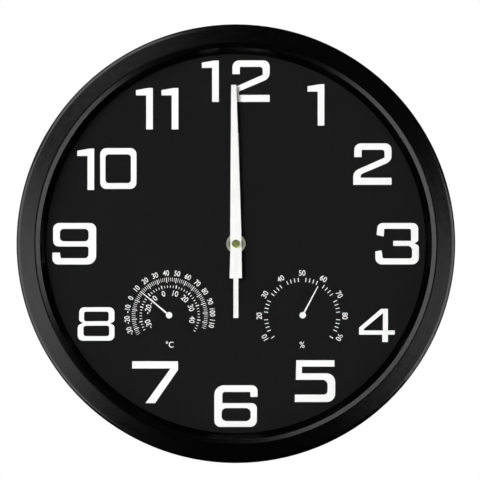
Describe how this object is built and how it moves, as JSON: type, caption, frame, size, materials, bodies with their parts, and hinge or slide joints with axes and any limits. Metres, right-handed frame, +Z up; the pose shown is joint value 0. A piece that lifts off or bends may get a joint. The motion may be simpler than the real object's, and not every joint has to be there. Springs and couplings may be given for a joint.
{
  "type": "wall clock",
  "caption": "Round black wall clock with white hands behind a flat lens, and a small dial thermometer and dial hygrometer low on the dial; hangs from a keyhole pocket.",
  "frame": {"origin": "on the axis of the hands, in the plane of the wall that the rear edge of the case rests on", "axes": "+Z up towards 12 on the dial, +Y into the wall, +X to the right as one faces the dial"},
  "size_m": [0.3498, 0.043, 0.3498],
  "materials": {
    "black_gloss_plastic": "satin black moulded plastic",
    "clear_glass": "clear polished glass",
    "dial_print": "matt black printed sheet",
    "black_ring_plastic": "matt black moulded plastic",
    "back_plastic": "matt black moulded plastic",
    "zinc_steel": "zinc plated",
    "movement_plastic": "fine matt black moulded plastic",
    "brass": "satin brass",
    "washer_brass": "pale plated brass",
    "rubber": "matt",
    "natural_plastic": "natural moulded plastic",
    "white_plastic": "moulded plastic",
    "motor_iron": "bare stamped iron",
    "copper_wire": "enamelled copper",
    "board_green": "solder mask",
    "crystal_can": "drawn metal can",
    "cell_label": "plain sleeve",
    "contact_steel": "nickel plated spring steel",
    "hand_white": "matt white enamel",
    "cup_aluminium": "drawn satin aluminium",
    "bimetal": "rolled bimetal strip",
    "steel_arbor": "ground",
    "pointer_white": "matt white enamel"
  },
  "bodies": {
    "case": {"bezel": "black_gloss_plastic", "lens": "clear_glass", "dial_ring": "black_ring_plastic", "dial_sheet": "dial_print", "back_plate": "back_plastic", "case_screws": "zinc_steel", "movement_front_case": "movement_plastic", "movement_rear_case": "movement_plastic", "train_plate": "natural_plastic", "threaded_bush": "brass", "rubber_washer": "rubber", "dial_washer": "washer_brass", "dial_nut": "washer_brass", "stator": "motor_iron", "coil_core": "motor_iron", "coil_bobbin": "natural_plastic", "coil_winding": "copper_wire", "circuit_board": "board_green", "quartz_crystal": "crystal_can", "positive_contact": "contact_steel", "negative_contact": "contact_steel", "thermometer_cup": "cup_aluminium", "thermometer_coil": "bimetal", "hygrometer_cup": "cup_aluminium", "hygrometer_coil": "bimetal"},
    "second_hand_train": {"second_hand": "hand_white", "hand_cap": "brass", "second_wheel": "white_plastic"},
    "step_train": {"step_wheel": "white_plastic"},
    "motor_rotor": {"rotor": "motor_iron"},
    "third_train": {"third_wheel": "white_plastic"},
    "centre_train": {"centre_wheel": "white_plastic"},
    "minute_hand_train": {"minute_hand": "hand_white", "cannon_pinion": "white_plastic"},
    "minute_train": {"minute_wheel": "white_plastic"},
    "hour_hand_train": {"hour_hand": "hand_white", "hour_wheel": "white_plastic"},
    "setting": {"setting_knob": "natural_plastic"},
    "thermometer_needle": {"thermometer_pointer": "pointer_white", "thermometer_spindle": "steel_arbor"},
    "hygrometer_needle": {"hygrometer_pointer": "pointer_white", "hygrometer_spindle": "steel_arbor"},
    "cell": {"battery": "cell_label"}
  },
  "joints": [
    {"name": "second_hand_turn", "type": "hinge", "parent": "case", "child": "second_hand_train", "pos_m": [0, 0, 0], "axis": [0, 1, 0], "continuous": true},
    {"name": "step_wheel_turn", "type": "hinge", "parent": "case", "child": "step_train", "pos_m": [0.00432, 0, 0.00748], "axis": [0, 1, 0], "continuous": true},
    {"name": "rotor_turn", "type": "hinge", "parent": "case", "child": "motor_rotor", "pos_m": [0.00286, 0, 0.01575], "axis": [0, 1, 0], "continuous": true},
    {"name": "third_wheel_turn", "type": "hinge", "parent": "case", "child": "third_train", "pos_m": [-0.00793, 0, 0.00793], "axis": [0, 1, 0], "continuous": true},
    {"name": "centre_wheel_turn", "type": "hinge", "parent": "case", "child": "centre_train", "pos_m": [0, 0, 0], "axis": [0, 1, 0], "continuous": true},
    {"name": "minute_hand_turn", "type": "hinge", "parent": "case", "child": "minute_hand_train", "pos_m": [0, 0, 0], "axis": [0, 1, 0], "continuous": true},
    {"name": "minute_wheel_turn", "type": "hinge", "parent": "case", "child": "minute_train", "pos_m": [0.01128, 0, 0.0041], "axis": [0, 1, 0], "continuous": true},
    {"name": "hour_hand_turn", "type": "hinge", "parent": "case", "child": "hour_hand_train", "pos_m": [0, 0, 0], "axis": [0, 1, 0], "continuous": true},
    {"name": "setting_knob_turn", "type": "hinge", "parent": "case", "child": "setting", "pos_m": [0.01976, 0, 0.01259], "axis": [0, 1, 0], "continuous": true},
    {"name": "thermometer_turn", "type": "hinge", "parent": "case", "child": "thermometer_needle", "pos_m": [-0.05335, 0, -0.0571], "axis": [0, 1, 0], "range_deg": [-69, 171], "stiffness_Nm_per_rad": 0.001},
    {"name": "hygrometer_turn", "type": "hinge", "parent": "case", "child": "hygrometer_needle", "pos_m": [0.05335, 0, -0.0571], "axis": [0, 1, 0], "range_deg": [-153, 100], "stiffness_Nm_per_rad": 0.001},
    {"name": "battery_slide", "type": "slide", "parent": "case", "child": "cell", "axis": [0, 1, 0], "range_m": [0, 0.02]}
  ],
  "couplings": [
    {"joint": "step_wheel_turn", "follows": "second_hand_turn", "ratio": -5},
    {"joint": "rotor_turn", "follows": "second_hand_turn", "ratio": 30},
    {"joint": "third_wheel_turn", "follows": "second_hand_turn", "ratio": -0.13333},
    {"joint": "centre_wheel_turn", "follows": "second_hand_turn", "ratio": 0.016667},
    {"joint": "minute_wheel_turn", "follows": "minute_hand_turn", "ratio": -0.33333},
    {"joint": "hour_hand_turn", "follows": "minute_hand_turn", "ratio": 0.083333},
    {"joint": "setting_knob_turn", "follows": "minute_hand_turn", "ratio": 1}
  ]
}
